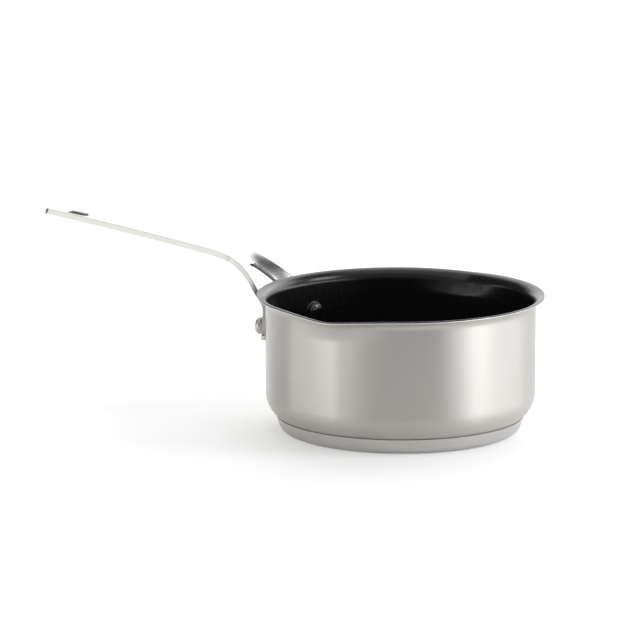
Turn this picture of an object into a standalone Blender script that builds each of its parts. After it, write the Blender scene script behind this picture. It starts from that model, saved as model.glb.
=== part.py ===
# Saucepan with two pouring spouts, a bonded base and a cast handle that forks to two rivets.
# Metres, +Z up. The origin is on the pan's axis, at the underside of the base.
# The handle points along -X and the two spouts along -Y and +Y.

import math

import bmesh
import bpy
from mathutils import Vector

# Clearances and cuts
PIECE_GAP = 0.0003
CUT_OVERRUN = 0.0012
MERGE_DISTANCE = 0.000001

# Base: a steel cap pressed round an aluminium core, up to the pan's rounded corner
CORE_THICKNESS = 0.0045
CAP_WALL = 0.0005
CAP_FOOT_INSET = 0.0131
CAP_EDGE_RADIUS = 0.0051
CAP_TAPER = math.radians(18.6)
BASE_SIDES = 60
BASE_EDGE_STEPS = 4

# Pan body
PAN_INNER_RADIUS = 0.080
PAN_WALL = 0.0007
PAN_HEIGHT = 0.0814
PAN_CORNER_RADIUS = 0.0178
LIP_RADIUS = 0.0052
PAN_SIDES = 76
PAN_CROWDING_SHARE = 0.2
FLOOR_RING_SHARE = 0.5
CORNER_STEPS = 8
LIP_STEPS = 5

# Spouts pressed into the lip
SPOUT_REACH = 0.005
SPOUT_DIP = 0.0015
SPOUT_DEPTH = 0.015
SPOUT_HALF_ANGLE = math.radians(28.0)
SPOUT_TIP_ANGLE = math.radians(3.0)
SPOUT_STEPS = 3

# Non-stick lining
LINING_THICKNESS = 0.0003

# Rivets
RIVET_BELOW_LIP = 0.022
SHANK_RADIUS = 0.003
OUTER_HEAD_RADIUS = 0.0051
OUTER_HEAD_HEIGHT = 0.0044
INNER_HEAD_RADIUS = 0.0047
INNER_HEAD_HEIGHT = 0.0029
HEAD_SKIRT_SHARE = 0.35
HEAD_FLATNESS_SHARE = 0.75
HEAD_STEPS = 5
RIVET_SIDES = 20

# Handle: run of its top face, from the foot of its two arms up to the tip
FOOT_BELOW_HEAD = 0.0025
LOWER_BEND_RADIUS = 0.0093
ARM_LENGTH = 0.0134
ARM_SLOPE = math.radians(49.1)
UPPER_BEND_RADIUS = 0.0481
GRIP_SLOPE = math.radians(8.36)
GRIP_LENGTH = 0.126
GRIP_BOW = math.radians(2.45)

# Handle: section
GRIP_HALF_WIDTH = 0.0129
GRIP_EDGE_THICKNESS = 0.0038
GRIP_CENTRE_THICKNESS = 0.0026
ARM_EDGE_THICKNESS = 0.00335
PLATE_THICKNESS = 0.0027
GRIP_TROUGH_RADIUS = 0.0347
ARM_TROUGH_RADIUS = 0.059
EDGE_CHAMFER = 0.0004
TIP_CORNER_RADIUS = 0.0045
FOOT_CORNER_RADIUS = 0.0065

# Handle: fork and hang slot
SPREAD_START = 0.0119
SPREAD_AT_RIVETS = 0.021
SPREAD_POWER_SHARE = 1.37
ARM_WIDTH_AT_APEX = 0.0115
ARM_PAST_HEAD = 0.0019
FORK_APEX_START = 0.0185
FORK_APEX_RADIUS = 0.0034
SLOT_LENGTH = 0.0143
SLOT_WIDTH = 0.0074
SLOT_FROM_TIP = 0.0174

# Handle: mesh steps
CROSS_STEPS = 10
ROUND_STEPS = 4
PLATE_STEPS = 2
LOWER_BEND_STEPS = 6
ARM_STEPS = 2
UPPER_BEND_STEPS = 9
GRIP_STEPS = 6

SHARP_ANGLE = math.radians(32.0)

# Places that follow from the sizes
core_underside = CAP_WALL + PIECE_GAP
pan_underside = core_underside + CORE_THICKNESS + PIECE_GAP
pan_outer_radius = PAN_INNER_RADIUS + PAN_WALL
corner_centre = Vector((pan_outer_radius - PAN_CORNER_RADIUS, pan_underside + PAN_CORNER_RADIUS))
cap_foot_centre = Vector((pan_outer_radius - CAP_FOOT_INSET, CAP_EDGE_RADIUS))
base_clear_radius = PAN_CORNER_RADIUS + PIECE_GAP
lip_centre_height = PAN_HEIGHT - PAN_WALL - LIP_RADIUS
lining_inset = PAN_WALL + PIECE_GAP
lining_inner_radius = PAN_INNER_RADIUS - PIECE_GAP - LINING_THICKNESS
plate_inner_radius = pan_outer_radius + PIECE_GAP
plate_outer_radius = plate_inner_radius + PLATE_THICKNESS

# Distances along the handle's top face, from the foot
rivet_height = PAN_HEIGHT - RIVET_BELOW_LIP
rivet_place = OUTER_HEAD_RADIUS + FOOT_BELOW_HEAD
foot_height = rivet_height - rivet_place
plate_end = rivet_place + OUTER_HEAD_RADIUS
lower_bend_end = plate_end + LOWER_BEND_RADIUS * (math.pi / 2 - ARM_SLOPE)
arm_end = lower_bend_end + ARM_LENGTH
grip_start = arm_end + UPPER_BEND_RADIUS * (ARM_SLOPE - GRIP_SLOPE)
tip_end = grip_start + GRIP_LENGTH
spread_place = grip_start - SPREAD_START
apex_place = grip_start - FORK_APEX_START
arm_width_at_rivets = 2.0 * (OUTER_HEAD_RADIUS + ARM_PAST_HEAD)


def clear_scene():
    for item in list(bpy.data.objects):
        bpy.data.objects.remove(item, do_unlink=True)


def make_material(name, color, roughness, metallic):
    material = bpy.data.materials.new(name)
    material.use_nodes = True
    shader = material.node_tree.nodes["Principled BSDF"]
    shader.inputs["Base Color"].default_value = (*color, 1.0)
    shader.inputs["Roughness"].default_value = roughness
    shader.inputs["Metallic"].default_value = metallic
    material.diffuse_color = (*color, 1.0)
    return material


def add_object(name, shape, material):
    bmesh.ops.recalc_face_normals(shape, faces=shape.faces)
    mesh = bpy.data.meshes.new(name)
    shape.to_mesh(mesh)
    shape.free()
    mesh.shade_smooth()
    mesh.set_sharp_from_angle(angle=SHARP_ANGLE)
    item = bpy.data.objects.new(name, mesh)
    bpy.context.scene.collection.objects.link(item)
    if material:
        mesh.materials.append(material)
    return item


def make_cutter(item):
    item.hide_render = True
    item.display_type = "WIRE"
    return item


def add_boolean(item, other, operation):
    modifier = item.modifiers.new(other.name, "BOOLEAN")
    modifier.operation = operation
    modifier.solver = "EXACT"
    modifier.object = other


def arc_points(centre, radius, start, end, steps):
    angles = [start + (end - start) * step / steps for step in range(steps + 1)]
    return [(centre[0] + radius * math.cos(a), centre[1] + radius * math.sin(a)) for a in angles]


def turned_shape(outline, sides):
    # The outline is (radius, height) pairs, from one point on the axis to another
    shape = bmesh.new()
    points = [shape.verts.new((radius, 0.0, height)) for radius, height in outline]
    edges = [shape.edges.new(pair) for pair in zip(points, points[1:])]
    bmesh.ops.spin(shape, geom=points + edges, cent=(0, 0, 0), axis=(0, 0, 1),
                   angle=math.tau, steps=sides, use_merge=True)
    bmesh.ops.remove_doubles(shape, verts=shape.verts, dist=MERGE_DISTANCE)
    return shape


# Pan body and lining

def shell_curve(inset):
    # One face of the pan's wall, inset from the outer face, from the axis out to the lip's end
    floor = pan_underside + inset
    lip_centre = (pan_outer_radius + LIP_RADIUS, lip_centre_height)
    wall_radius = pan_outer_radius - inset
    spout_start = PAN_HEIGHT - SPOUT_DEPTH
    points = [(0.0, floor), (FLOOR_RING_SHARE * wall_radius, floor)]
    points += arc_points(corner_centre, PAN_CORNER_RADIUS - inset, -math.pi / 2, 0.0, CORNER_STEPS)
    for step in range(SPOUT_STEPS):
        height = spout_start + (lip_centre_height - spout_start) * step / SPOUT_STEPS
        points.append((wall_radius, height))
    points += arc_points(lip_centre, LIP_RADIUS + inset, math.pi, math.pi / 2, LIP_STEPS)
    return points


def smooth_ramp(value):
    value = min(max(value, 0.0), 1.0)
    return value * value * (3.0 - 2.0 * value)


def spout_share(angle):
    # 1 at a spout's tip, falling to 0 at its sides
    off_tip = abs(abs(angle) - math.pi / 2)
    rounded = math.hypot(off_tip, SPOUT_TIP_ANGLE) - SPOUT_TIP_ANGLE
    return max(1.0 - rounded / SPOUT_HALF_ANGLE, 0.0) ** 2


def press_spouts(shape):
    for point in shape.verts:
        radius = math.hypot(point.co.x, point.co.y)
        if radius < MERGE_DISTANCE:
            continue
        turn = math.atan2(point.co.y, point.co.x)
        angle = turn + PAN_CROWDING_SHARE * math.sin(2.0 * turn)
        rise = smooth_ramp((point.co.z - PAN_HEIGHT + SPOUT_DEPTH) / SPOUT_DEPTH)
        pressed = spout_share(angle) * rise
        radius += SPOUT_REACH * pressed
        height = point.co.z - SPOUT_DIP * pressed
        point.co = (radius * math.cos(angle), radius * math.sin(angle), height)


def pan_shell(name, inset, thickness, material):
    outline = shell_curve(inset) + shell_curve(inset + thickness)[::-1]
    shape = turned_shape(outline, PAN_SIDES)
    press_spouts(shape)
    return add_object(name, shape, material)


# Base

def cup_curve(inset):
    # One face of the cap, inset from its outer one: flat, round the edge, then straight along the
    # tapered side up to the gap below the pan's rounded corner
    edge = CAP_EDGE_RADIUS - inset
    curve = [(0.0, inset)]
    curve += arc_points(cap_foot_centre, edge, -math.pi / 2, -CAP_TAPER, BASE_EDGE_STEPS)
    side_start = Vector(curve[-1])
    upward = Vector((math.sin(CAP_TAPER), math.cos(CAP_TAPER)))
    offset = side_start - corner_centre
    nearing = -offset.dot(upward)
    side_length = nearing - math.sqrt(nearing ** 2 - offset.length_squared + base_clear_radius ** 2)
    return curve + [tuple(side_start + upward * side_length)]


def base_cap(material):
    outline = cup_curve(0.0) + cup_curve(CAP_WALL)[::-1]
    return add_object("base_cap", turned_shape(outline, BASE_SIDES), material)


def base_core(material):
    # The core fills the cap up to the gap below the pan
    below = cup_curve(core_underside)
    clear_arc = arc_points(corner_centre, base_clear_radius, 0.0, -math.pi / 2, CORNER_STEPS)
    above = [point for point in clear_arc if point[1] < below[-1][1]]
    outline = below + above + [(0.0, pan_underside - PIECE_GAP)]
    return add_object("base_core", turned_shape(outline, BASE_SIDES), material)


# Handle: the bent and troughed face that every section of it follows

def path_at(along):
    # Place and slope of the top face's centre line, at a distance from the foot
    stretches = [
        (plate_end, math.pi / 2, math.pi / 2),
        (lower_bend_end - plate_end, math.pi / 2, ARM_SLOPE),
        (ARM_LENGTH, ARM_SLOPE, ARM_SLOPE),
        (grip_start - arm_end, ARM_SLOPE, GRIP_SLOPE),
        (GRIP_LENGTH, GRIP_SLOPE, GRIP_SLOPE - GRIP_BOW),
    ]
    x, z = -plate_inner_radius, foot_height
    for length, start, end in stretches:
        run = min(along, length)
        turn = (end - start) / length
        slope = start + turn * run
        if turn:
            x -= (math.sin(slope) - math.sin(start)) / turn
            z -= (math.cos(slope) - math.cos(start)) / turn
        else:
            x -= run * math.cos(slope)
            z += run * math.sin(slope)
        if along <= length:
            break
        along -= length
    return x, z, slope


def ramp_between(along, stops):
    if along <= stops[0][0]:
        return stops[0][1]
    for (start, low), (end, high) in zip(stops, stops[1:]):
        if along <= end:
            return low + (high - low) * (along - start) / (end - start)
    return stops[-1][1]


def trough_radius(along):
    stops = [
        (plate_end, 1.0 / plate_inner_radius),
        (lower_bend_end, 1.0 / ARM_TROUGH_RADIUS),
        (arm_end, 1.0 / ARM_TROUGH_RADIUS),
        (grip_start, 1.0 / GRIP_TROUGH_RADIUS),
    ]
    return 1.0 / ramp_between(along, stops)


def edge_thickness(along):
    stops = [
        (plate_end, PLATE_THICKNESS),
        (lower_bend_end, ARM_EDGE_THICKNESS),
        (grip_start, GRIP_EDGE_THICKNESS),
    ]
    return ramp_between(along, stops)


def centre_thickness(along):
    stops = [(plate_end, PLATE_THICKNESS), (grip_start, GRIP_CENTRE_THICKNESS)]
    return ramp_between(along, stops)


def spread_half_width(along):
    share = max((spread_place - along) / (spread_place - rivet_place), 0.0)
    return GRIP_HALF_WIDTH + SPREAD_AT_RIVETS * share ** SPREAD_POWER_SHARE


def arm_width(along):
    stops = [(rivet_place, arm_width_at_rivets), (spread_place, ARM_WIDTH_AT_APEX)]
    return ramp_between(along, stops)


def corner_cut(distance, radius):
    # How far a rounded corner draws an edge in, at a distance from the end
    inside = radius - min(max(distance, 0.0), radius)
    return radius - math.sqrt(radius * radius - inside * inside)


def outer_half_width(along):
    foot = corner_cut(along, FOOT_CORNER_RADIUS)
    tip = corner_cut(tip_end - along, TIP_CORNER_RADIUS)
    return spread_half_width(along) - foot - tip


def gap_half_width(along):
    opening = spread_half_width(along) - arm_width(along)
    distance = apex_place - along
    if distance < FORK_APEX_RADIUS:
        opening = min(opening, FORK_APEX_RADIUS - corner_cut(distance, FORK_APEX_RADIUS))
    return opening + corner_cut(along, FOOT_CORNER_RADIUS)


def thickness_at(along, side):
    share = min(abs(side) / spread_half_width(along), 1.0)
    centre = centre_thickness(along)
    return centre + (edge_thickness(along) - centre) * share * share


def handle_point(along, side, depth):
    x, z, slope = path_at(along)
    radius = trough_radius(along)
    tilt = math.asin(side / radius)
    lift = radius * (1.0 - math.cos(tilt)) - depth * math.cos(tilt)
    return Vector((x + lift * math.sin(slope), side + depth * math.sin(tilt), z + lift * math.cos(slope)))


def bar_loop(along, half_width, top, below, edge):
    # Points round one section; top and below are depths past the two faces
    flat = half_width - edge
    sides = [flat * (2.0 * step / CROSS_STEPS - 1.0) for step in range(CROSS_STEPS + 1)]
    side_depth = thickness_at(along, half_width) + below
    loop = [(side, top) for side in sides]
    if edge:
        loop += [(half_width, top + edge), (half_width, side_depth - edge)]
    loop += [(side, thickness_at(along, side) + below) for side in reversed(sides)]
    if edge:
        loop += [(-half_width, side_depth - edge), (-half_width, top + edge)]
    return [handle_point(along, side, depth) for side, depth in loop]


def bar_shape(loops):
    shape = bmesh.new()
    rings = [[shape.verts.new(point) for point in loop] for loop in loops]
    for ring, following in zip(rings, rings[1:]):
        for index in range(len(ring)):
            ahead = (index + 1) % len(ring)
            shape.faces.new((ring[index], ring[ahead], following[ahead], following[index]))
    shape.faces.new(rings[0])
    shape.faces.new(rings[-1])
    return shape


def evenly(start, end, steps):
    return [start + (end - start) * step / steps for step in range(steps)]


def round_stations(radius):
    # Distances from the end of a rounded corner, close together where it turns most
    angles = [math.pi / 2 * step / ROUND_STEPS for step in range(1, ROUND_STEPS)]
    return [radius * (1.0 - math.cos(angle)) for angle in angles]


def handle_stations():
    stations = round_stations(FOOT_CORNER_RADIUS)
    stations += evenly(FOOT_CORNER_RADIUS, plate_end, PLATE_STEPS)
    stations += evenly(plate_end, lower_bend_end, LOWER_BEND_STEPS)
    stations += evenly(lower_bend_end, arm_end, ARM_STEPS)
    stations += evenly(arm_end, grip_start, UPPER_BEND_STEPS)
    stations += evenly(grip_start, tip_end - TIP_CORNER_RADIUS, GRIP_STEPS)
    stations.append(tip_end - TIP_CORNER_RADIUS)
    stations += [tip_end - distance for distance in reversed(round_stations(TIP_CORNER_RADIUS))]
    return [along for along in stations if EDGE_CHAMFER < along < tip_end - EDGE_CHAMFER]


def handle_blank(material):
    def end_loop(along):
        return bar_loop(along, outer_half_width(along) - EDGE_CHAMFER, EDGE_CHAMFER, -EDGE_CHAMFER,
                        EDGE_CHAMFER)

    def full_loop(along):
        return bar_loop(along, outer_half_width(along), 0.0, 0.0, EDGE_CHAMFER)

    stations = [EDGE_CHAMFER] + handle_stations() + [tip_end - EDGE_CHAMFER]
    loops = [end_loop(0.0)] + [full_loop(along) for along in stations] + [end_loop(tip_end)]
    return add_object("handle", bar_shape(loops), material)


def cutting_bar(name, stations):
    loops = [bar_loop(along, half_width, -CUT_OVERRUN, CUT_OVERRUN, 0.0) for along, half_width in stations]
    return make_cutter(add_object(name, bar_shape(loops), None))


def fork_cutter():
    stations = [-CUT_OVERRUN, 0.0]
    stations += [along for along in handle_stations() if along < apex_place - FORK_APEX_RADIUS]
    distances = [FORK_APEX_RADIUS] + round_stations(FORK_APEX_RADIUS)[::-1]
    distances.append(round_stations(FORK_APEX_RADIUS)[0] / ROUND_STEPS)
    stations += [apex_place - distance for distance in distances]
    return cutting_bar("fork_cutter", [(along, gap_half_width(along)) for along in stations])


def slot_cutter():
    radius = SLOT_WIDTH / 2
    middle = tip_end - SLOT_FROM_TIP
    straight = SLOT_LENGTH / 2 - radius
    first = round_stations(radius)[0] / ROUND_STEPS
    distances = [first] + round_stations(radius) + [radius]
    sides = [(distance, radius - corner_cut(distance, radius)) for distance in distances]
    stations = [(middle - straight - radius + distance, width) for distance, width in sides]
    stations += [(middle + straight + radius - distance, width) for distance, width in reversed(sides)]
    return cutting_bar("slot_cutter", stations)


# Rivets

def rivet_angle():
    # Each rivet sits in the middle of its arm's width
    middle = spread_half_width(rivet_place) - arm_width(rivet_place) / 2
    return math.asin(middle / plate_inner_radius)


def set_radially(item, side):
    # Turns a shape's own Z axis to point out of the pan through one rivet's place
    angle = rivet_angle()
    outward = Vector((-math.cos(angle), side * math.sin(angle), 0.0))
    item.rotation_euler = outward.to_track_quat("Z", "Y").to_euler()
    item.location.z = rivet_height
    return item


def dome_curve(seat, shoulder, crown, radius):
    # Outline of a rivet head: straight from its seat to its shoulder, domed from there to its crown
    angles = [math.pi / 2 * step / HEAD_STEPS for step in range(HEAD_STEPS)]
    rise = crown - shoulder
    curve = [(radius * math.cos(a) ** HEAD_FLATNESS_SHARE, shoulder + rise * math.sin(a)) for a in angles]
    return [(radius, seat)] + curve + [(0.0, crown)]


def inner_seat(head_radius):
    # Where a flat head of this radius clears the inside of the round wall
    return math.sqrt(PAN_INNER_RADIUS ** 2 - head_radius ** 2) - PIECE_GAP


def inner_shoulder():
    return inner_seat(INNER_HEAD_RADIUS) - INNER_HEAD_HEIGHT * HEAD_SKIRT_SHARE


def inner_crown():
    return inner_seat(INNER_HEAD_RADIUS) - INNER_HEAD_HEIGHT


def rivet(name, side, material):
    inner = inner_seat(INNER_HEAD_RADIUS)
    outer = plate_outer_radius + PIECE_GAP
    outer_shoulder = outer + OUTER_HEAD_HEIGHT * HEAD_SKIRT_SHARE
    inner_head = dome_curve(inner, inner_shoulder(), inner_crown(), INNER_HEAD_RADIUS)
    outer_head = dome_curve(outer, outer_shoulder, outer + OUTER_HEAD_HEIGHT, OUTER_HEAD_RADIUS)
    outline = inner_head[::-1] + [(SHANK_RADIUS, inner), (SHANK_RADIUS, outer)] + outer_head
    return set_radially(add_object(name, turned_shape(outline, RIVET_SIDES), material), side)


def hole_cutter(name, side):
    radius = SHANK_RADIUS + PIECE_GAP
    start = inner_seat(INNER_HEAD_RADIUS) - CUT_OVERRUN
    end = plate_outer_radius + CUT_OVERRUN
    outline = [(0.0, start), (radius, start), (radius, end), (0.0, end)]
    item = add_object(name, turned_shape(outline, RIVET_SIDES), None)
    return make_cutter(set_radially(item, side))


def head_cover(name, side, grow, seat):
    # A solid round an inner rivet head, larger than it all over by the growth
    dome = dome_curve(seat, inner_shoulder(), inner_crown() - grow, INNER_HEAD_RADIUS + grow)
    item = add_object(name, turned_shape([(0.0, seat)] + dome, RIVET_SIDES), None)
    return make_cutter(set_radially(item, side))


def cover_rivet_head(lining, name, side):
    # The lining swells over the head and stays hollow under the swelling, whose flat seat lies
    # within the lining's round wall: past its inner face everywhere, short of its outer face
    bump_radius = INNER_HEAD_RADIUS + PIECE_GAP + LINING_THICKNESS
    lining_outer_radius = lining_inner_radius + LINING_THICKNESS
    furthest_seat = math.sqrt(lining_outer_radius ** 2 - bump_radius ** 2)
    bump_seat = (lining_inner_radius + furthest_seat) / 2
    bump = head_cover("bump_" + name, side, PIECE_GAP + LINING_THICKNESS, bump_seat)
    hollow = head_cover("hollow_" + name, side, PIECE_GAP, PAN_INNER_RADIUS + CUT_OVERRUN)
    add_boolean(lining, bump, "UNION")
    add_boolean(lining, hollow, "DIFFERENCE")


def build():
    clear_scene()
    satin_steel = make_material("satin steel", (0.66, 0.65, 0.63), 0.3, 1.0)
    coating = make_material("black coating", (0.014, 0.014, 0.015), 0.38, 0.0)
    aluminium = make_material("aluminium", (0.70, 0.71, 0.72), 0.45, 1.0)
    cap_steel = make_material("cap steel", (0.62, 0.61, 0.60), 0.34, 1.0)
    cast_steel = make_material("polished cast steel", (0.72, 0.71, 0.70), 0.16, 1.0)
    rivet_steel = make_material("rivet steel", (0.58, 0.57, 0.56), 0.26, 1.0)

    pan_body = pan_shell("pan_body", 0.0, PAN_WALL, satin_steel)
    lining = pan_shell("nonstick_lining", lining_inset, LINING_THICKNESS, coating)
    base_core(aluminium)
    base_cap(cap_steel)
    handle = handle_blank(cast_steel)
    add_boolean(handle, fork_cutter(), "DIFFERENCE")
    add_boolean(handle, slot_cutter(), "DIFFERENCE")
    for name, side in (("front", -1.0), ("back", 1.0)):
        rivet("rivet_" + name, side, rivet_steel)
        hole = hole_cutter("hole_" + name, side)
        add_boolean(handle, hole, "DIFFERENCE")
        add_boolean(pan_body, hole, "DIFFERENCE")
        cover_rivet_head(lining, name, side)


build()
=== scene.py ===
# Small steel saucepan: black non-stick inside, two pouring spouts, a bonded base and a forked cast
# handle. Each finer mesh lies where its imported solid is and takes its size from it.
import math

import bmesh
import bpy
from mathutils import Matrix, Vector


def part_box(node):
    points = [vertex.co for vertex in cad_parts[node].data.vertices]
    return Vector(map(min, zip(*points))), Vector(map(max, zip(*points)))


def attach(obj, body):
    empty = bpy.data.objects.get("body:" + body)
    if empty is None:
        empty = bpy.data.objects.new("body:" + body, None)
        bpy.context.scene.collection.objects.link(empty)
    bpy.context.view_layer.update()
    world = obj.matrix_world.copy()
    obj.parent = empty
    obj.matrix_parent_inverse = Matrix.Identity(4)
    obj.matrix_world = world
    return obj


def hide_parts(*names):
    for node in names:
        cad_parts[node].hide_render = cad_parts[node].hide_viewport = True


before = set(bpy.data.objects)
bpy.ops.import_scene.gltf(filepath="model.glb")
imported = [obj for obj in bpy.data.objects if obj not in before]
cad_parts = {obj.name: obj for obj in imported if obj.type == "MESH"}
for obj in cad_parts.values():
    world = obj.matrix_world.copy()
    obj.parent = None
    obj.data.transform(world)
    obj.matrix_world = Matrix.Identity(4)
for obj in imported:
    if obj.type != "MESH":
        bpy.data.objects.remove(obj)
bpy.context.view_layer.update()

mm = 0.001
quarterTurn = math.pi / 2
tiny = 0.001 * mm  # lengths below this count as nothing
weld = 0.0005 * mm  # points nearer than this become one


# Shader maths

class Wire:  # a socket that can stand in a sum
    def __init__(self, graph, socket):
        self.graph = graph
        self.socket = socket

    def joined(self, operation, first, second):
        return self.graph.node("Math", {"operation": operation}, {0: first, 1: second})

    def __add__(self, other):
        return self.joined("ADD", self, other)

    def __radd__(self, other):
        return self.joined("ADD", other, self)

    def __sub__(self, other):
        return self.joined("SUBTRACT", self, other)

    def __rsub__(self, other):
        return self.joined("SUBTRACT", other, self)

    def __mul__(self, other):
        return self.joined("MULTIPLY", self, other)

    def __rmul__(self, other):
        return self.joined("MULTIPLY", other, self)


class Graph:  # one material's or the world's nodes
    def __init__(self, owner):
        owner.use_nodes = True
        self.tree = owner.node_tree
        self.tree.nodes.clear()

    def node(self, kind, settings=None, inputs=None, output=0):
        made = self.tree.nodes.new("ShaderNode" + kind)
        for name, value in (settings or {}).items():
            setattr(made, name, value)
        for name, value in (inputs or {}).items():
            if isinstance(value, Wire):
                self.tree.links.new(value.socket, made.inputs[name])
            else:
                made.inputs[name].default_value = value
        return Wire(self, made.outputs[output]) if len(made.outputs) else made

    def noise(self, stretch, detail):  # stretch is cells per metre along x, y and z
        place = self.node("TexCoord", output="Object")
        spread = self.node("Mapping", inputs={"Vector": place, "Scale": stretch})
        return self.node("TexNoise", inputs={"Vector": spread, "Scale": 1.0, "Detail": detail})

    def bump(self, height, depth, normal=None):  # depth in metres
        inputs = {"Height": height, "Distance": depth, "Strength": 1.0}
        if normal:
            inputs["Normal"] = normal
        return self.node("Bump", inputs=inputs)


def makeFinish(name, build):
    material = bpy.data.materials.new(name)
    graph = Graph(material)
    graph.node("OutputMaterial", inputs={"Surface": build(graph)})
    return material


# Camera

cameraPlace = {
    "azimuth": math.radians(30.0),
    "elevation": math.radians(11.39),
    "distance": 2.6,
    "aimHeight": 40 * mm,
    "shiftRight": -48.1 * mm,
    "shiftUp": 25.5 * mm,
    "focalPixels": 4343,
    "framePixels": 640,
    "sensorWidth": 36.0,
    "clipStart": 0.05,
    "clipEnd": 100.0,
}


def addCamera(place):
    turn = place["azimuth"]
    rise = place["elevation"]
    level = math.cos(rise)
    back = Vector((math.sin(turn) * level, -math.cos(turn) * level, math.sin(rise)))
    right = Vector((math.cos(turn), math.sin(turn), 0.0))
    up = back.cross(right)
    lens = bpy.data.cameras.new("camera")
    lens.sensor_width = place["sensorWidth"]
    lens.lens = place["focalPixels"] * lens.sensor_width / place["framePixels"]
    lens.clip_start = place["clipStart"]
    lens.clip_end = place["clipEnd"]
    camera = bpy.data.objects.new("camera", lens)
    bpy.context.scene.collection.objects.link(camera)
    camera.matrix_world = Matrix((right, up, back)).transposed().to_4x4()
    aim = Vector((0.0, 0.0, place["aimHeight"]))
    sideways = right * place["shiftRight"] + up * place["shiftUp"]
    camera.location = aim + back * place["distance"] + sideways
    bpy.context.scene.camera = camera


addCamera(cameraPlace)
bpy.context.scene.view_settings.view_transform = "Standard"
print("camera set")


# Studio: soft panels round a dim room. A panel's centre is in degrees right of the camera. It is
# full out to "full" degrees from there, ends at "end", and goes from "low" to "high" degrees up.

studio = {
    "room": (0.08, 0.08, 0.078),
    "floorColor": (0.90, 0.90, 0.90),
    "floorGlow": {"Is Glossy Ray": 0.1, "Is Transmission Ray": 0.1, "Is Camera Ray": 0.325},
    "floorFront": 0.64,
    "floorBack": 12.0,
    "floorHalfWidth": 9.0,
    "floorDrop": 0.05 * mm,
    "panelBlur": 8,  # degrees over which a panel's lower and upper edges fade
}
panels = {
    "keyLight": {"centre": 82, "full": 9, "end": 56, "low": -60, "high": 10,
                 "light": (4.9, 4.95, 5.15)},
    "keyTop": {"centre": 82, "full": 12, "end": 50, "low": 10, "high": 48,
               "light": (0.28, 0.29, 0.30)},
    "softbox": {"centre": 80, "full": 8, "end": 16, "low": 29, "high": 45,
                "light": (6.4, 6.4, 6.4)},
    "backdrop": {"centre": 181, "full": 18, "end": 40, "low": -10, "high": 75,
                 "light": (1.4, 1.4, 1.4)},
    "rightWing": {"centre": 136, "full": 14, "end": 30, "low": 12, "high": 38,
                  "light": (2.35, 2.4, 2.45)},
    "rightFoot": {"centre": 130, "full": 8, "end": 30, "low": -10, "high": 12,
                  "light": (1.15, 1.15, 1.15)},
    "leftCard": {"centre": -82, "full": 24, "end": 28, "low": -10, "high": 12,
                 "light": (1.75, 1.72, 1.67)},
    "leftFade": {"centre": -50, "full": 4, "end": 34, "low": -10, "high": 12,
                 "light": (0.8, 0.79, 0.76)},
    "leftCardTop": {"centre": -67, "full": 18, "end": 28, "low": 12, "high": 41,
                    "light": (0.82, 0.81, 0.785)},
    "frontCeiling": {"centre": 0, "full": 40, "end": 90, "low": 16, "high": 64,
                     "light": (0.27, 0.27, 0.27)},
    "overhead": {"centre": 0, "full": 180, "end": 200, "low": 60, "high": 100,
                 "light": (0.78, 0.78, 0.78)},
}
zenith = 90  # a panel that reaches it has no upper edge


def fade(graph, value, start, end):  # 0 at the start, 1 at the end, eased
    return graph.node("MapRange", {"interpolation_type": "SMOOTHSTEP"},
                      {"Value": value, "From Min": start, "From Max": end})


def blurredEdge(degrees):  # heights at which a panel's edge starts and ends to fade
    half = studio["panelBlur"] / 2
    return [math.sin(math.radians(degrees + off)) for off in (-half, half)]


def buildWorld(look):
    world = bpy.data.worlds.new("studio")
    bpy.context.scene.world = world
    graph = Graph(world)
    direction = graph.node("TexCoord", output="Generated")
    height = graph.node("SeparateXYZ", inputs={0: direction}, output="Z")
    level = graph.node("VectorMath", {"operation": "MULTIPLY"}, {0: direction, 1: (1.0, 1.0, 0.0)})
    heading = graph.node("VectorMath", {"operation": "NORMALIZE"}, {0: level})
    light = (*look["room"], 1.0)
    for panel in panels.values():
        turn = cameraPlace["azimuth"] + math.radians(panel["centre"])
        middle = (math.sin(turn), -math.cos(turn), 0.0)
        facing = graph.node("VectorMath", {"operation": "DOT_PRODUCT"}, {0: heading, 1: middle},
                            "Value")
        away = graph.node("Math", {"operation": "ARCCOSINE"}, {0: facing})
        across = fade(graph, away, math.radians(panel["end"]), math.radians(panel["full"]))
        rising = fade(graph, height, *blurredEdge(panel["low"]))
        if panel["high"] < zenith:
            rising = rising * fade(graph, height, *blurredEdge(panel["high"])[::-1])
        light = graph.node("Mix", {"data_type": "RGBA", "blend_type": "ADD"},
                           {"Factor": across * rising, "A": light, "B": (*panel["light"], 1.0)},
                           "Result")
    seen = graph.node("LightPath", output="Is Camera Ray")
    studioLight = graph.node("Background", inputs={"Color": light, "Strength": 1.0})
    white = graph.node("Background", inputs={"Color": (1.0, 1.0, 1.0, 1.0), "Strength": 1.0})
    mixed = graph.node("MixShader", inputs={0: seen, 1: studioLight, 2: white})
    graph.node("OutputWorld", inputs={"Surface": mixed})


def paleFloor(graph):
    ground = graph.node("BsdfDiffuse", inputs={"Color": (*studio["floorColor"], 1.0)})
    shown = ground
    for kind, strength in studio["floorGlow"].items():
        rays = graph.node("LightPath", output=kind)
        glow = graph.node("Emission", inputs={"Color": (1.0, 1.0, 1.0, 1.0), "Strength": strength})
        lifted = graph.node("AddShader", inputs={0: ground, 1: glow})
        shown = graph.node("MixShader", inputs={0: rays, 1: shown, 2: lifted})
    return shown


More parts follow.
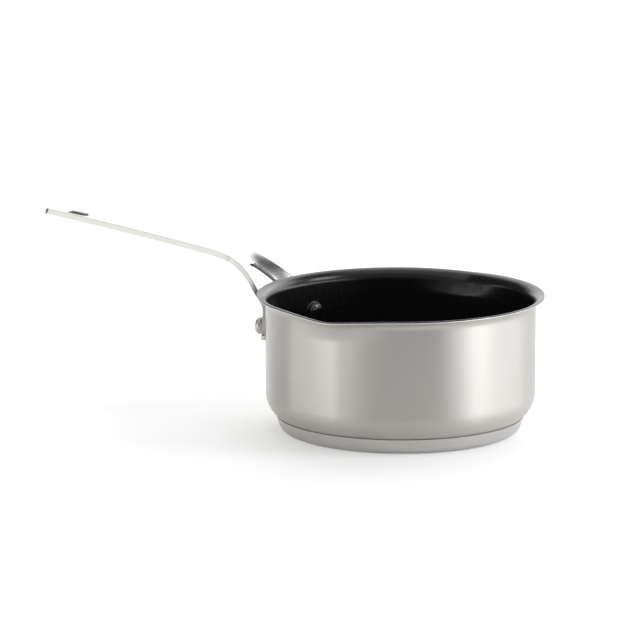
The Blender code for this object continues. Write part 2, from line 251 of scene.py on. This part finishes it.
def addFloor(look):
    half = look["floorHalfWidth"]
    front = -look["floorFront"]
    back = look["floorBack"]
    corners = [(-half, front, 0), (half, front, 0), (half, back, 0), (-half, back, 0)]
    mesh = bpy.data.meshes.new("floor")
    mesh.from_pydata(corners, [], [(0, 1, 2, 3)])
    mesh.materials.append(makeFinish("paleFloor", paleFloor))
    floor = bpy.data.objects.new("floor", mesh)
    floor.location.z = -look["floorDrop"]
    floor.rotation_euler.z = cameraPlace["azimuth"]
    bpy.context.scene.collection.objects.link(floor)


buildWorld(studio)
addFloor(studio)
print("studio lit")


# Finishes

def satinSteel(graph):  # brushed round the wall, so that reflections spread upward and downward
    fine = graph.noise((25.0, 25.0, 5200.0), 3.0)
    broad = graph.noise((9.0, 9.0, 420.0), 2.0)
    return graph.node("BsdfPrincipled", inputs={
        "Base Color": (0.62, 0.596, 0.567, 1.0),
        "Metallic": 1.0,
        "Roughness": 0.33 + (fine - 0.5) * 0.10 + (broad - 0.5) * 0.06,
        "Anisotropic": 0.95,
        "Anisotropic Rotation": 0.25,
        "Normal": graph.bump(fine, 0.004 * mm),
    })


def cutSteel(graph):  # the bare edge of the lip
    fine = graph.noise((60.0, 60.0, 2600.0), 2.0)
    return graph.node("BsdfPrincipled", inputs={
        "Base Color": (0.74, 0.73, 0.72, 1.0),
        "Metallic": 1.0,
        "Roughness": 0.24 + (fine - 0.5) * 0.12,
        "Normal": graph.bump(fine, 0.003 * mm),
    })


def nonStickCoating(graph):  # black, semi-matte, with a fine pebbled skin
    pebbles = graph.noise((1500.0, 1500.0, 1500.0), 2.0)
    waves = graph.noise((260.0, 260.0, 260.0), 2.0)
    skin = graph.bump(pebbles, 0.012 * mm)
    return graph.node("BsdfPrincipled", inputs={
        "Base Color": (0.007, 0.007, 0.0071, 1.0),
        "Roughness": 0.29 + (pebbles - 0.5) * 0.24,
        "Specular IOR Level": 0.3,
        "Coat Weight": 0.35,
        "Coat Roughness": 0.16,
        "Normal": graph.bump(waves, 0.012 * mm, skin),
    })


def smoothCoating(graph):  # the coating on the domes, drawn thin and glossier over the rivet heads
    waves = graph.noise((420.0, 420.0, 420.0), 2.0)
    return graph.node("BsdfPrincipled", inputs={
        "Base Color": (0.006, 0.006, 0.0062, 1.0),
        "Roughness": 0.24 + (waves - 0.5) * 0.10,
        "Specular IOR Level": 0.6,
        "Coat Weight": 1.0,
        "Coat Roughness": 0.12,
        "Normal": graph.bump(waves, 0.008 * mm),
    })


def capSteel(graph):  # turned, finer than the wall
    fine = graph.noise((40.0, 40.0, 4200.0), 3.0)
    return graph.node("BsdfPrincipled", inputs={
        "Base Color": (0.68, 0.67, 0.66, 1.0),
        "Metallic": 1.0,
        "Roughness": 0.30 + (fine - 0.5) * 0.10,
        "Anisotropic": 0.8,
        "Anisotropic Rotation": 0.25,
        "Normal": graph.bump(fine, 0.003 * mm),
    })


def castSteel(graph):  # polished, with the slow waves of a casting
    waves = graph.noise((70.0, 110.0, 110.0), 1.5)
    polish = graph.noise((160.0, 2400.0, 2400.0), 2.0)
    return graph.node("BsdfPrincipled", inputs={
        "Base Color": (0.76, 0.755, 0.74, 1.0),
        "Metallic": 1.0,
        "Roughness": 0.19 + (polish - 0.5) * 0.12,
        "Normal": graph.bump(polish, 0.002 * mm, graph.bump(waves, 0.10 * mm)),
    })


def roughCastWithPaintedShade(graph):  # the walls of the slot and the fork: unpolished cast steel, whose dark base colour is painted shade for the slot and the gap between the arms
    grain = graph.noise((420.0, 420.0, 420.0), 3.0)
    return graph.node("BsdfPrincipled", inputs={
        # dark base colour: painted shade inside the slot and between the arms
        "Base Color": (0.17, 0.165, 0.16, 1.0),
        "Metallic": 1.0,
        "Roughness": 0.42 + (grain - 0.5) * 0.20,
        "Normal": graph.bump(grain, 0.03 * mm),
    })


def rivetSteel(graph):
    grain = graph.noise((900.0, 900.0, 900.0), 2.0)
    return graph.node("BsdfPrincipled", inputs={
        "Base Color": (0.60, 0.59, 0.58, 1.0),
        "Metallic": 1.0,
        "Roughness": 0.40 + (grain - 0.5) * 0.14,
        "Normal": graph.bump(grain, 0.006 * mm),
    })


def rolledAluminium(graph):
    grain = graph.noise((300.0, 300.0, 1800.0), 2.0)
    return graph.node("BsdfPrincipled", inputs={
        "Base Color": (0.55, 0.55, 0.56, 1.0),
        "Metallic": 1.0,
        "Roughness": 0.45 + (grain - 0.5) * 0.16,
        "Normal": graph.bump(grain, 0.01 * mm),
    })


finishBuilders = (satinSteel, cutSteel, nonStickCoating, smoothCoating, capSteel, castSteel,
                  roughCastWithPaintedShade, rivetSteel, rolledAluminium)
finishes = {build.__name__: makeFinish(build.__name__, build) for build in finishBuilders}
print("finishes made")


# Mesh helpers

def through(start, end, steps):  # even steps, with both ends
    return [start + (end - start) * step / steps for step in range(steps + 1)]


def evenly(start, end, steps):  # even steps, without the end
    return through(start, end, steps)[:-1]


def arc(centre, radius, start, end, steps):
    return [(centre[0] + radius * math.cos(turn), centre[1] + radius * math.sin(turn))
            for turn in through(start, end, steps)]


def eased(value):
    value = min(max(value, 0.0), 1.0)
    return value * value * (3.0 - 2.0 * value)


def turned(outline, sides):  # turns (radius, height) pairs round the axis
    shape = bmesh.new()
    turns = evenly(0.0, math.tau, sides)
    rings = []
    for radius, height in outline:
        if radius < tiny:
            rings.append([shape.verts.new((0.0, 0.0, height))] * sides)
        else:
            places = [(radius * math.cos(turn), radius * math.sin(turn), height) for turn in turns]
            rings.append([shape.verts.new(place) for place in places])
    for lower, upper in zip(rings, rings[1:]):
        for side in range(sides):
            ahead = (side + 1) % sides
            corners = [lower[side], lower[ahead], upper[ahead], upper[side]]
            shape.faces.new(list(dict.fromkeys(corners)))
    return shape


def finished(name, shape, solids, looks, sharp=None):  # stands in for its solids
    bmesh.ops.remove_doubles(shape, verts=shape.verts, dist=weld)
    bmesh.ops.recalc_face_normals(shape, faces=shape.faces)
    mesh = bpy.data.meshes.new(name)
    shape.to_mesh(mesh)
    shape.free()
    mesh.shade_smooth()
    if sharp:
        mesh.set_sharp_from_angle(angle=sharp)
    for look in looks:
        mesh.materials.append(finishes[look])
    piece = bpy.data.objects.new(name, mesh)
    bpy.context.scene.collection.objects.link(piece)
    weights = piece.modifiers.new("evenNormals", "WEIGHTED_NORMAL")
    weights.keep_sharp = True
    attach(piece, "root")
    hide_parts(*solids)


# Pan wall and lining

wall = {
    "thickness": 0.7 * mm,
    "lipRadius": 5.2 * mm,
    "cornerRadius": 17.8 * mm,
    "edgeRound": 0.16 * mm,
    "bareEdge": 0.192 * mm,  # how far in from the lip's end the steel is bare
    "spoutDip": 1.5 * mm,  # how far the lip sinks at a spout
    "spoutDepth": 15 * mm,  # height over which the wall is pressed out
    "spoutHalfAngle": math.radians(28),
    "spoutTipAngle": math.radians(3),  # more makes a rounder spout
    "sides": 360,
    "floorSteps": 3,
    "cornerSteps": 28,
    "straightSteps": 6,
    "pressedSteps": 16,
    "lipSteps": 24,
    "edgeSteps": 4,
}
lining = {
    "gap": 0.05 * mm,  # off the steel
    "edgeRound": 0.2 * mm,
    "domeRadius": 5.5 * mm,
    "domeHeight": 4.1 * mm,
    "domeFlatness": 0.75,  # 1 is a ball, less is flatter
    "domeSkirt": 0.35,  # share of the height that stands upright
    "domeFoot": 0.7 * mm,  # width of the fillet at the dome's foot
    "domeFootShare": 0.25,
    "domeFootRise": 0.1 * mm,
    "domeSink": 0.02 * mm,
    "domeSteps": 12,
    "domeSides": 64,
}

panLow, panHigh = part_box("pan_body")
lipReach = panHigh.x
spoutReach = panHigh.y - panHigh.x
wallRadius = lipReach - wall["lipRadius"]
cornerCentre = (wallRadius - wall["cornerRadius"], panLow.z + wall["cornerRadius"])
lipCentreHeight = panHigh.z - wall["thickness"] - wall["lipRadius"]
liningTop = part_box("nonstick_lining")[1].z - panHigh.z  # how far the lining stands over the steel


def shellFace(inset):  # one face of the wall, from the axis out to the lip's end
    lip = (lipReach, lipCentreHeight)
    pressStart = panHigh.z - wall["spoutDepth"]
    straight = evenly(cornerCentre[1], pressStart, wall["straightSteps"])[1:]
    pressed = evenly(pressStart, lipCentreHeight, wall["pressedSteps"])
    flat = evenly(0.0, cornerCentre[0], wall["floorSteps"])
    face = [(reach, panLow.z + inset) for reach in flat]
    face += arc(cornerCentre, wall["cornerRadius"] - inset, -quarterTurn, 0.0, wall["cornerSteps"])
    face += [(wallRadius - inset, height) for height in straight + pressed]
    return face + arc(lip, wall["lipRadius"] + inset, math.pi, quarterTurn, wall["lipSteps"])


def roundedEdge(lower, upper, rounding):  # joins two faces at the lip with a rounded upright edge
    middle = lower[0] - rounding
    low = arc((middle, lower[1] + rounding), rounding, -quarterTurn, 0.0, wall["edgeSteps"])
    high = arc((middle, upper[1] - rounding), rounding, 0.0, quarterTurn, wall["edgeSteps"])
    return low + high


def pressSpouts(shape):  # draws the wall out at both sides and lets the lip sink there
    for point in shape.verts:
        reach = math.hypot(point.co.x, point.co.y)
        if reach < mm:  # the middle of the floor
            continue
        turn = math.atan2(point.co.y, point.co.x)
        rise = eased((point.co.z - panHigh.z + wall["spoutDepth"]) / wall["spoutDepth"])
        offTip = abs(abs(turn) - quarterTurn)
        rounded = math.hypot(offTip, wall["spoutTipAngle"]) - wall["spoutTipAngle"]
        pressed = rise * max(1.0 - rounded / wall["spoutHalfAngle"], 0.0) ** 2
        longer = 1.0 + spoutReach * pressed / reach
        dip = wall["spoutDip"] * pressed
        point.co = (point.co.x * longer, point.co.y * longer, point.co.z - dip)


def addPanWall():
    outer = shellFace(0.0)
    inner = shellFace(wall["thickness"])
    edge = roundedEdge(outer[-1], inner[-1], wall["edgeRound"])
    shape = turned(outer[:-1] + edge + inner[-2::-1], wall["sides"])
    for face in shape.faces:
        middle = face.calc_center_median()
        if math.hypot(middle.x, middle.y) > lipReach - wall["bareEdge"]:
            face.material_index = 1
    pressSpouts(shape)
    finished("panWall", shape, ["pan_body"], ["satinSteel", "cutSteel"])


rivetLow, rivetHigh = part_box("rivet_back")
rivetHeight = (rivetLow.z + rivetHigh.z) / 2
headRadius = (rivetHigh.z - rivetLow.z) / 2
rivetTurn = math.atan2(rivetLow.y + rivetHigh.y, -rivetLow.x - rivetHigh.x)  # off the middle


def outwardAtRivet(side):
    return Vector((-math.cos(rivetTurn), side * math.sin(rivetTurn), 0.0))


def domeProfile():  # distances from the rivet's axis and rises over the lining's face
    radius = lining["domeRadius"]
    foot = lining["domeFoot"]
    skirt = lining["domeSkirt"]
    profile = [(radius + foot, -lining["domeSink"]),
               (radius + lining["domeFootShare"] * foot, lining["domeFootRise"])]
    for angle in through(0.0, quarterTurn, lining["domeSteps"]):
        profile.append((radius * math.cos(angle) ** lining["domeFlatness"],
                        lining["domeHeight"] * (skirt + (1.0 - skirt) * math.sin(angle))))
    return profile


def addDome(shape, side):  # the lining's swelling over one inner rivet head
    innerFace = wallRadius - wall["thickness"] - liningTop
    outward = outwardAtRivet(side)
    sideways = Vector((side * math.sin(rivetTurn), math.cos(rivetTurn), 0.0))
    rings = []
    for distance, rise in domeProfile():
        ring = []
        for spin in evenly(0.0, math.tau, lining["domeSides"]):
            across = distance * math.cos(spin)
            depth = math.sqrt(innerFace ** 2 - across ** 2) - rise
            above = Vector((0.0, 0.0, rivetHeight + distance * math.sin(spin)))
            ring.append(shape.verts.new(outward * depth + sideways * across + above))
        rings.append(ring)
    for lower, upper in zip(rings, rings[1:]):
        for index in range(lining["domeSides"]):
            ahead = (index + 1) % lining["domeSides"]
            face = shape.faces.new((lower[index], lower[ahead], upper[ahead], upper[index]))
            face.material_index = 1


def addLining():
    inset = wall["thickness"] + lining["gap"]
    outer = shellFace(inset)
    inner = shellFace(wall["thickness"] + liningTop)
    edge = roundedEdge(outer[-1], inner[-1], lining["edgeRound"])
    shape = turned(outer[:-1] + edge + inner[-2::-1], wall["sides"])
    pressSpouts(shape)
    addDome(shape, -1.0)
    addDome(shape, 1.0)
    looks = ["nonStickCoating", "smoothCoating"]
    finished("nonStickLining", shape, ["nonstick_lining"], looks)


addPanWall()
addLining()
print("pan made")


# Base

cap = {
    "wall": 0.5 * mm,
    "footInset": 13.1 * mm,  # from the pan's wall in to the middle of the cap's rounded edge
    "edgeRadius": 5.1 * mm,
    "taper": math.radians(18.6),
    "seam": 0.36 * mm,  # the dark gap between the cap and the pan
    "sharpAngle": math.radians(40),
    "sides": 300,
    "floorSteps": 4,
    "edgeSteps": 14,
    "sideSteps": 6,
}


def capFace(inset):  # one face of the cap, from the axis out to the seam
    centre = (wallRadius - cap["footInset"], cap["edgeRadius"])
    face = [(reach, inset) for reach in evenly(0.0, centre[0], cap["floorSteps"])]
    face += arc(centre, cap["edgeRadius"] - inset, -quarterTurn, -cap["taper"], cap["edgeSteps"])
    start = Vector(face[-1])
    upward = Vector((math.sin(cap["taper"]), math.cos(cap["taper"])))
    offset = start - Vector(cornerCentre)
    nearing = -offset.dot(upward)
    clear = wall["cornerRadius"] + cap["seam"]
    length = nearing - math.sqrt(nearing ** 2 - offset.length_squared + clear ** 2)  # to the seam
    runs = through(0.0, length, cap["sideSteps"])[1:]
    return face + [tuple(start + upward * run) for run in runs]


def addBaseCap():
    shape = turned(capFace(0.0) + capFace(cap["wall"])[::-1], cap["sides"])
    finished("baseCap", shape, ["base_cap"], ["capSteel"], cap["sharpAngle"])


addBaseCap()
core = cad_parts["base_core"]
core.data.materials.clear()
core.data.materials.append(finishes["rolledAluminium"])
print("base made")


# Rivets

rivet = {
    "skirtShare": 0.35,  # share of the height that stands upright
    "flatness": 0.75,  # 1 is a ball, less is flatter
    "outerSeat": 3.3 * mm,  # off the pan's wall
    "outerHeight": 4.4 * mm,
    "innerRadius": 4.7 * mm,
    "innerHeight": 2.9 * mm,
    "shankRadius": 3.0 * mm,
    "clearance": 0.3 * mm,
    "steps": 14,
    "sides": 64,
}


def headCurve(seat, height, radius):
    shoulder = seat + height * rivet["skirtShare"]
    curve = [(radius, seat)]
    for angle in evenly(0.0, quarterTurn, rivet["steps"]):
        curve.append((radius * math.cos(angle) ** rivet["flatness"],
                      shoulder + (seat + height - shoulder) * math.sin(angle)))
    return curve + [(0.0, seat + height)]


def addRivet(name, solid, side):
    outerSeat = wallRadius + rivet["outerSeat"]
    innerFace = wallRadius - wall["thickness"]
    innerSeat = math.sqrt(innerFace ** 2 - rivet["innerRadius"] ** 2) - rivet["clearance"]
    innerHead = headCurve(innerSeat, -rivet["innerHeight"], rivet["innerRadius"])
    outerHead = headCurve(outerSeat, rivet["outerHeight"], headRadius)
    shank = [(rivet["shankRadius"], innerSeat), (rivet["shankRadius"], outerSeat)]
    shape = turned(innerHead[::-1] + shank + outerHead, rivet["sides"])
    facing = outwardAtRivet(side).to_track_quat("Z", "Y").to_matrix().to_4x4()
    stand = Matrix.Translation((0.0, 0.0, rivetHeight)) @ facing
    bmesh.ops.transform(shape, matrix=stand, verts=shape.verts)
    finished(name, shape, [solid], ["rivetSteel"])


addRivet("frontRivet", "rivet_front", -1.0)
addRivet("backRivet", "rivet_back", 1.0)
print("rivets made")


# Handle: distances run along its top face from the foot of its arms to the tip

handle = {
    "wallGap": 0.3 * mm,
    "lowerBend": 9.3 * mm,  # radius, above the plates
    "armLength": 13.4 * mm,
    "armSlope": math.radians(49.1),
    "upperBend": 48.1 * mm,  # radius, from the arms to the grip
    "gripSlope": math.radians(8.36),
    "gripLength": 126 * mm,
    "gripBow": math.radians(2.45),  # how much flatter the grip lies at its tip
    "halfWidth": 12.9 * mm,
    "plate": 2.7 * mm,  # thickness at the wall
    "armEdge": 3.35 * mm,
    "gripEdge": 3.8 * mm,
    "gripCentre": 2.6 * mm,
    "armTrough": 59 * mm,  # radius of the hollow across the top
    "gripTrough": 34.7 * mm,
    "edgeRound": 0.5 * mm,
    "footCorner": 6.5 * mm,
    "tipCorner": 4.5 * mm,
    "tipShare": 0.6,  # how far the middle's points have run when the tip's corners end
    "spreadStart": 11.9 * mm,  # where the sides begin to spread, before the grip's start
    "spreadAtRivets": 21 * mm,
    "spreadPower": 1.37,
    "armWidthAtApex": 11.5 * mm,
    "armWidthAtRivets": 14 * mm,
    "apexStart": 18.5 * mm,  # top of the fork's gap, before the grip's start
    "apexRadius": 3.4 * mm,
    "apexOpening": 3.0,
    "apexBlend": 0.5 * mm,
    "slotLength": 14.3 * mm,
    "slotWidth": 7.4 * mm,
    "slotFromTip": 17.4 * mm,
    "middleWeld": 0.002 * mm,
    "footEndSteps": 3,
    "footCornerSteps": 14,
    "armSteps": 40,
    "apexSteps": 16,
    "gripSteps": 90,
    "slotEndSteps": 16,
    "slotSideSteps": 6,
    "pastSlotSteps": 8,
    "tipCornerSteps": 14,
    "tipEndSteps": 8,
    "edgeSteps": 4,
    "acrossSteps": 18,
}

plateFace = wallRadius + handle["wallGap"]
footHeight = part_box("handle")[0].z
rivetPlace = rivetHeight - footHeight
plateEnd = rivetPlace + headRadius
lowerBendEnd = plateEnd + handle["lowerBend"] * (quarterTurn - handle["armSlope"])
armEnd = lowerBendEnd + handle["armLength"]
gripStart = armEnd + handle["upperBend"] * (handle["armSlope"] - handle["gripSlope"])
tipEnd = gripStart + handle["gripLength"]
spreadPlace = gripStart - handle["spreadStart"]
apexPlace = gripStart - handle["apexStart"]
slotStart = tipEnd - handle["slotFromTip"] - handle["slotLength"] / 2
slotEnd = slotStart + handle["slotLength"]


def pathAt(along):  # place and slope of the top face's centre line
    stretches = [
        (plateEnd, quarterTurn, quarterTurn),
        (lowerBendEnd - plateEnd, quarterTurn, handle["armSlope"]),
        (handle["armLength"], handle["armSlope"], handle["armSlope"]),
        (gripStart - armEnd, handle["armSlope"], handle["gripSlope"]),
        (handle["gripLength"], handle["gripSlope"], handle["gripSlope"] - handle["gripBow"]),
    ]
    x = -plateFace
    z = footHeight
    for length, start, end in stretches:
        run = min(along, length)
        bend = (end - start) / length
        slope = start + bend * run
        if bend:
            x -= (math.sin(slope) - math.sin(start)) / bend
            z -= (math.cos(slope) - math.cos(start)) / bend
        else:
            x -= run * math.cos(slope)
            z += run * math.sin(slope)
        if along <= length:
            break
        along -= length
    return x, z, slope


def easedBetween(along, stops):
    if along <= stops[0][0]:
        return stops[0][1]
    for (start, low), (end, high) in zip(stops, stops[1:]):
        if along <= end:
            return low + (high - low) * eased((along - start) / (end - start))
    return stops[-1][1]


def troughRadius(along):
    arms = 1 / handle["armTrough"]
    grip = 1 / handle["gripTrough"]
    bends = [(plateEnd, 1 / plateFace), (lowerBendEnd, arms), (armEnd, arms), (gripStart, grip)]
    return 1.0 / easedBetween(along, bends)


def spreadHalfWidth(along):
    share = max((spreadPlace - along) / (spreadPlace - rivetPlace), 0.0)
    return handle["halfWidth"] + handle["spreadAtRivets"] * share ** handle["spreadPower"]


def armWidth(along):
    share = min(max((along - rivetPlace) / (spreadPlace - rivetPlace), 0.0), 1.0)
    atRivets = handle["armWidthAtRivets"]
    return atRivets + (handle["armWidthAtApex"] - atRivets) * share


def thicknessAt(along, side):
    plate = (plateEnd, handle["plate"])
    arm = (lowerBendEnd, handle["armEdge"])
    edge = easedBetween(along, [plate, arm, (gripStart, handle["gripEdge"])])
    centre = easedBetween(along, [plate, (gripStart, handle["gripCentre"])])
    share = min(abs(side) / spreadHalfWidth(along), 1.0)
    return centre + (edge - centre) * share * share


def handlePoint(along, side, depth):  # depth is measured from the top face
    x, z, slope = pathAt(along)
    radius = troughRadius(along)
    tilt = math.asin(side / radius)
    lift = radius * (1.0 - math.cos(tilt)) - depth * math.cos(tilt)
    across = side + depth * math.sin(tilt)
    return Vector((x + lift * math.sin(slope), across, z + lift * math.cos(slope)))


def gapHalfWidth(along):  # half the fork's gap, eased into its round apex
    radius = handle["apexRadius"]
    opening = spreadHalfWidth(along) - armWidth(along)
    past = apexPlace - along - radius
    if past >= 0.0:
        apex = radius + past * handle["apexOpening"]
    else:
        inside = radius - min(max(apexPlace - along, 0.0), radius)
        apex = math.sqrt(max(radius ** 2 - inside ** 2, 0.0))
    blend = handle["apexBlend"]
    nearness = max(blend - abs(opening - apex), 0.0) / blend
    return min(opening, apex) - nearness * nearness * blend / 4


# Half the handle is laid out in columns: an inner point, an outer point, and whether a wall stands
# at the inner one. A point is how far it lies along the handle and to the side.

def column(along, inner, walled):
    return (along, inner), (along, spreadHalfWidth(along)), walled


def footColumns():  # the straight end, then the round corners
    corner = handle["footCorner"]
    inner = spreadHalfWidth(0.0) - armWidth(0.0)
    outer = spreadHalfWidth(0.0)
    middle = (inner + outer) / 2
    columns = []
    for share in evenly(0.0, 1.0, handle["footEndSteps"]):
        columns.append(((0.0, middle + (inner + corner - middle) * share),
                        (0.0, middle + (outer - corner - middle) * share), True))
    for angle in through(0.0, quarterTurn, handle["footCornerSteps"]):
        along = corner * (1.0 - math.cos(angle))
        cut = corner * (1.0 - math.sin(angle))
        outer = spreadHalfWidth(along)
        columns.append(((along, outer - armWidth(along) + cut), (along, outer - cut), True))
    return columns


def forkColumns():  # the arms, then the round apex between them
    reach = handle["apexRadius"]
    apexStart = apexPlace - reach
    columns = [column(along, gapHalfWidth(along), True)
               for along in evenly(handle["footCorner"], apexStart, handle["armSteps"])[1:]]
    angles = through(0.0, quarterTurn, handle["apexSteps"])
    for angle in angles[:-1]:
        along = apexStart + reach * math.sin(angle)
        columns.append(column(along, gapHalfWidth(along), True))
    return columns + [column(apexStart + reach * math.sin(angles[-1]), 0.0, True)]


def gripColumns():
    edge = handle["edgeRound"]
    return [column(along, 0.0, False)
            for along in evenly(apexPlace + edge, slotStart - edge, handle["gripSteps"])[1:]]


def slotColumns():  # near end, sides and far end
    half = handle["slotWidth"] / 2
    angles = through(0.0, quarterTurn, handle["slotEndSteps"])
    columns = [column(slotStart + half * (1.0 - math.cos(angle)), half * math.sin(angle), True)
               for angle in angles]
    columns += [column(along, half, True)
                for along in evenly(slotStart + half, slotEnd - half, handle["slotSideSteps"])[1:]]
    return columns + [column(slotEnd - half + half * math.sin(angle), half * math.cos(angle), True)
                      for angle in angles]


def tipColumns():  # past the slot, then the round corners and the straight end
    edge = handle["edgeRound"]
    corner = handle["tipCorner"]
    share = handle["tipShare"]
    steps = handle["tipCornerSteps"]
    cornerStart = tipEnd - corner
    innerStart = cornerStart - edge
    innerRun = tipEnd - edge - innerStart
    pastSlot = evenly(slotEnd + edge, cornerStart - edge, handle["pastSlotSteps"])[1:]
    columns = [column(along, 0.0, False) for along in pastSlot]
    for step, angle in enumerate(through(0.0, quarterTurn, steps)):
        along = cornerStart + corner * math.sin(angle)
        side = spreadHalfWidth(along) - corner * (1.0 - math.cos(angle))
        columns.append(((innerStart + innerRun * share * step / steps, 0.0), (along, side), False))
    for done in through(0.0, 1.0, handle["tipEndSteps"])[1:]:
        inner = innerStart + innerRun * (share + (1.0 - share) * done)
        outer = (handle["halfWidth"] - corner) * (1.0 - done)
        columns.append(((inner, 0.0), (tipEnd, outer), False))
    return columns


def inwardNormals(points, turnSign):  # 1.0 turns them to the left of the run, -1.0 to the right
    normals = []
    for index, point in enumerate(points):
        before = points[max(index - 1, 0)]
        after = points[min(index + 1, len(points) - 1)]
        run = (after[0] - before[0], after[1] - before[1])
        length = math.hypot(*run) or 1.0
        normals.append((-run[1] / length * turnSign, run[0] / length * turnSign))
    return normals


def walledRuns(columns):  # the fork's columns and the slot's
    runs = []
    for index, (inner, outer, walled) in enumerate(columns):
        if walled and (index == 0 or not columns[index - 1][2]):
            runs.append([])
        if walled:
            runs[-1].append(index)
    return runs


def columnNormals(columns):  # which way the metal lies, at the outer and at the inner points
    outerNormals = inwardNormals([outer for inner, outer, walled in columns], -1.0)
    outerNormals[0] = (1.0, 0.0)
    outerNormals[-1] = (-1.0, 0.0)
    innerNormals = [None] * len(columns)
    forkRun, slotRun = walledRuns(columns)
    for run in (forkRun, slotRun):
        found = inwardNormals([columns[index][0] for index in run], 1.0)
        innerNormals[run[0]:run[-1] + 1] = found
    innerNormals[forkRun[0]] = (1.0, 0.0)
    innerNormals[forkRun[-1]] = (1.0, 0.0)
    innerNormals[slotRun[0]] = (-1.0, 0.0)
    innerNormals[slotRun[-1]] = (1.0, 0.0)
    return outerNormals, innerNormals


def shifted(point, normal, distance):
    return point[0] + normal[0] * distance, point[1] + normal[1] * distance


def edgePoints(shape, point, normal):  # round the top edge, down the wall, round the lower edge
    edge = handle["edgeRound"]
    angles = through(0.0, quarterTurn, handle["edgeSteps"])
    made = []
    for angle in angles[1:]:
        along, side = shifted(point, normal, edge * (1.0 - math.sin(angle)))
        depth = edge * (1.0 - math.cos(angle))
        made.append(shape.verts.new(handlePoint(along, side, depth)))
    for angle in angles[:0:-1]:
        along, side = shifted(point, normal, edge * (1.0 - math.sin(angle)))
        depth = thicknessAt(along, side) - edge * (1.0 - math.cos(angle))
        made.append(shape.verts.new(handlePoint(along, side, depth)))
    return made


def sectionOfHandle(shape, inner, outer, innerNormal, outerNormal):  # across half the handle
    start = shifted(inner, innerNormal, handle["edgeRound"]) if innerNormal else inner
    end = shifted(outer, outerNormal, handle["edgeRound"])
    flats = [(start[0] + (end[0] - start[0]) * share, start[1] + (end[1] - start[1]) * share)
             for share in through(0.0, 1.0, handle["acrossSteps"])]
    top = [shape.verts.new(handlePoint(along, side, 0.0)) for along, side in flats]
    under = [shape.verts.new(handlePoint(along, side, thicknessAt(along, side)))
             for along, side in flats]
    skin = top + edgePoints(shape, outer, outerNormal) + under[::-1]
    innerWall = edgePoints(shape, inner, innerNormal)[::-1] if innerNormal else []
    return skin, innerWall


def addHandle():
    columns = footColumns() + forkColumns() + gripColumns() + slotColumns() + tipColumns()
    outerNormals, innerNormals = columnNormals(columns)
    shape = bmesh.new()
    sections = [sectionOfHandle(shape, inner, outer, innerNormal, outerNormal)
                for (inner, outer, walled), innerNormal, outerNormal
                in zip(columns, innerNormals, outerNormals)]
    wallMiddle = handle["edgeSteps"]  # place of the wall's flat stretch among its faces
    for (skin, innerWall), (nextSkin, nextWall) in zip(sections, sections[1:]):
        for corners in zip(skin, skin[1:], nextSkin[1:], nextSkin):
            shape.faces.new(corners)
        if innerWall and nextWall:
            strip = skin[-1:] + innerWall + skin[:1]
            nextStrip = nextSkin[-1:] + nextWall + nextSkin[:1]
            for place, corners in enumerate(zip(strip, strip[1:], nextStrip[1:], nextStrip)):
                # the middle face of each inner wall takes the unpolished finish whose dark colour
                # is painted shade
                shape.faces.new(corners).material_index = 1 if place == wallMiddle else 0
    half = list(shape.verts) + list(shape.edges) + list(shape.faces)
    copied = bmesh.ops.duplicate(shape, geom=half)["geom"]
    mirrored = [item for item in copied if isinstance(item, bmesh.types.BMVert)]
    bmesh.ops.transform(shape, matrix=Matrix.Diagonal((1.0, -1.0, 1.0, 1.0)), verts=mirrored)
    bmesh.ops.remove_doubles(shape, verts=shape.verts, dist=handle["middleWeld"])
    bmesh.ops.dissolve_degenerate(shape, edges=shape.edges, dist=tiny)
    finished("forkedHandle", shape, ["handle"], ["castSteel", "roughCastWithPaintedShade"])


addHandle()
print("handle made")
